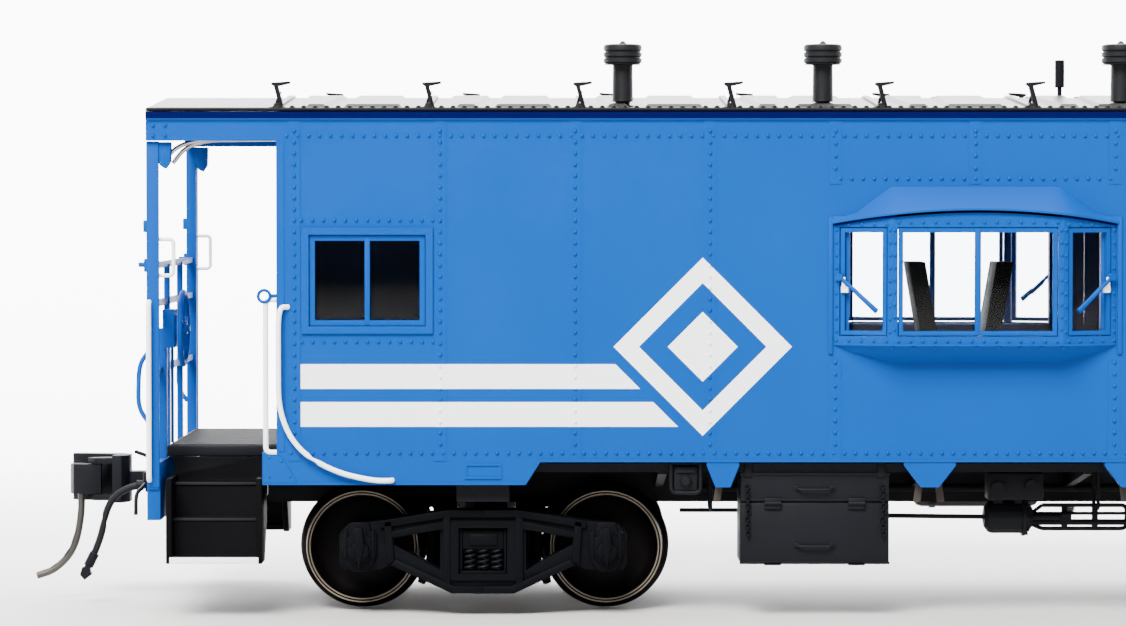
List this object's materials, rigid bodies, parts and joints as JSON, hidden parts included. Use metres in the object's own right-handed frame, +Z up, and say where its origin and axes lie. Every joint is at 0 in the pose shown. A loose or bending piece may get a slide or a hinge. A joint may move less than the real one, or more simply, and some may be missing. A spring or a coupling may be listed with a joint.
{
  "type": "model railway caboose",
  "caption": "HO scale bay-window caboose: blue body with a bay each side, black roof with stacks, end platforms with steps and railings, swivelling trucks and knuckle couplers.",
  "frame": {"origin": "midway between the trucks, on the surface that the wheel flanges stand on", "axes": "+X along the car towards the B end, +Y to the far side, +Z up"},
  "size_m": [0.1606, 0.0374, 0.0482],
  "materials": {
    "blue_plastic": "satin blue paint on moulded styrene",
    "black_plastic": "matte black moulded plastic",
    "roof_black": "semi-matte black paint",
    "clear_plastic": "clear moulded glazing",
    "white_wire": "white paint on wire",
    "wheel_metal": "darkened turned metal",
    "steel": "plain steel",
    "hose_rubber": "flexible matte moulding",
    "interior_plastic": "unpainted dark plastic"
  },
  "bodies": {
    "root": {"air_hose_a": "hose_rubber", "air_hose_b": "hose_rubber", "air_reservoir": "black_plastic", "antenna": "black_plastic", "ballast_weight": "steel", "battery_box": "black_plastic", "bay_glass_far": "clear_plastic", "bay_glass_near": "clear_plastic", "bay_window_far": "blue_plastic", "bay_window_near": "blue_plastic", "body_shell": "blue_plastic", "brake_cylinder": "black_plastic", "coupler_box_a": "black_plastic", "coupler_box_b": "black_plastic", "curved_handrail_a_left": "white_wire", "curved_handrail_a_right": "white_wire", "curved_handrail_b_left": "white_wire", "curved_handrail_b_right": "white_wire", "end_frame_a": "blue_plastic", "end_frame_b": "blue_plastic", "interior": "interior_plastic", "kingpin_a": "steel", "kingpin_b": "steel", "platform_a_end": "black_plastic", "platform_b_end": "black_plastic", "roof": "roof_black", "side_glass_far": "clear_plastic", "side_glass_near": "clear_plastic", "stack_1": "black_plastic", "stack_2": "black_plastic", "stack_3": "black_plastic", "steps_a_left": "black_plastic", "steps_a_right": "black_plastic", "steps_b_left": "black_plastic", "steps_b_right": "black_plastic", "underframe": "black_plastic"},
    "truck_a": {"truck_a_bolster": "black_plastic", "truck_a_side_frame_left": "black_plastic", "truck_a_side_frame_right": "black_plastic"},
    "wheelset_a_outer": {"axle_a_outer": "steel", "wheel_a_outer_left": "wheel_metal", "wheel_a_outer_right": "wheel_metal"},
    "wheelset_a_inner": {"axle_a_inner": "steel", "wheel_a_inner_left": "wheel_metal", "wheel_a_inner_right": "wheel_metal"},
    "coupler_a": {"coupler_head_a": "black_plastic"},
    "knuckle_a": {"coupler_knuckle_a": "black_plastic"},
    "handwheel_a": {"brake_wheel_a": "blue_plastic"},
    "truck_b": {"truck_b_bolster": "black_plastic", "truck_b_side_frame_left": "black_plastic", "truck_b_side_frame_right": "black_plastic"},
    "wheelset_b_outer": {"axle_b_outer": "steel", "wheel_b_outer_left": "wheel_metal", "wheel_b_outer_right": "wheel_metal"},
    "wheelset_b_inner": {"axle_b_inner": "steel", "wheel_b_inner_left": "wheel_metal", "wheel_b_inner_right": "wheel_metal"},
    "coupler_b": {"coupler_head_b": "black_plastic"},
    "knuckle_b": {"coupler_knuckle_b": "black_plastic"},
    "handwheel_b": {"brake_wheel_b": "blue_plastic"}
  },
  "joints": [
    {"name": "truck_a_swivel", "type": "hinge", "parent": "root", "child": "truck_a", "pos_m": [-0.0409, 0, 0.0079], "axis": [0, 0, 1], "range_deg": [-12, 12]},
    {"name": "wheelset_a_outer_spin", "type": "hinge", "parent": "truck_a", "child": "wheelset_a_outer", "pos_m": [-0.05125, 0, 0.00545], "axis": [0, 1, 0], "continuous": true},
    {"name": "wheelset_a_inner_spin", "type": "hinge", "parent": "truck_a", "child": "wheelset_a_inner", "pos_m": [-0.03055, 0, 0.00545], "axis": [0, 1, 0], "continuous": true},
    {"name": "coupler_a_swing", "type": "hinge", "parent": "root", "child": "coupler_a", "pos_m": [-0.0664, 0, 0.01055], "axis": [0, 0, 1], "range_deg": [-8, 8], "stiffness_Nm_per_rad": 0.00005},
    {"name": "knuckle_a_open", "type": "hinge", "parent": "coupler_a", "child": "knuckle_a", "pos_m": [-0.075, -0.0012, 0.01055], "axis": [0, 0, 1], "range_deg": [0, 22], "stiffness_Nm_per_rad": 0.00001},
    {"name": "handwheel_a_turn", "type": "hinge", "parent": "root", "child": "handwheel_a", "pos_m": [-0.06645, -0.0095, 0.024], "axis": [1, 0, 0], "continuous": true},
    {"name": "truck_b_swivel", "type": "hinge", "parent": "root", "child": "truck_b", "pos_m": [0.0409, 0, 0.0079], "axis": [0, 0, 1], "range_deg": [-12, 12]},
    {"name": "wheelset_b_outer_spin", "type": "hinge", "parent": "truck_b", "child": "wheelset_b_outer", "pos_m": [0.05125, 0, 0.00545], "axis": [0, 1, 0], "continuous": true},
    {"name": "wheelset_b_inner_spin", "type": "hinge", "parent": "truck_b", "child": "wheelset_b_inner", "pos_m": [0.03055, 0, 0.00545], "axis": [0, 1, 0], "continuous": true},
    {"name": "coupler_b_swing", "type": "hinge", "parent": "root", "child": "coupler_b", "pos_m": [0.0664, 0, 0.01055], "axis": [0, 0, 1], "range_deg": [-8, 8], "stiffness_Nm_per_rad": 0.00005},
    {"name": "knuckle_b_open", "type": "hinge", "parent": "coupler_b", "child": "knuckle_b", "pos_m": [0.075, 0.0012, 0.01055], "axis": [0, 0, 1], "range_deg": [0, 22], "stiffness_Nm_per_rad": 0.00001},
    {"name": "handwheel_b_turn", "type": "hinge", "parent": "root", "child": "handwheel_b", "pos_m": [0.06645, 0.0095, 0.024], "axis": [1, 0, 0], "continuous": true}
  ]
}
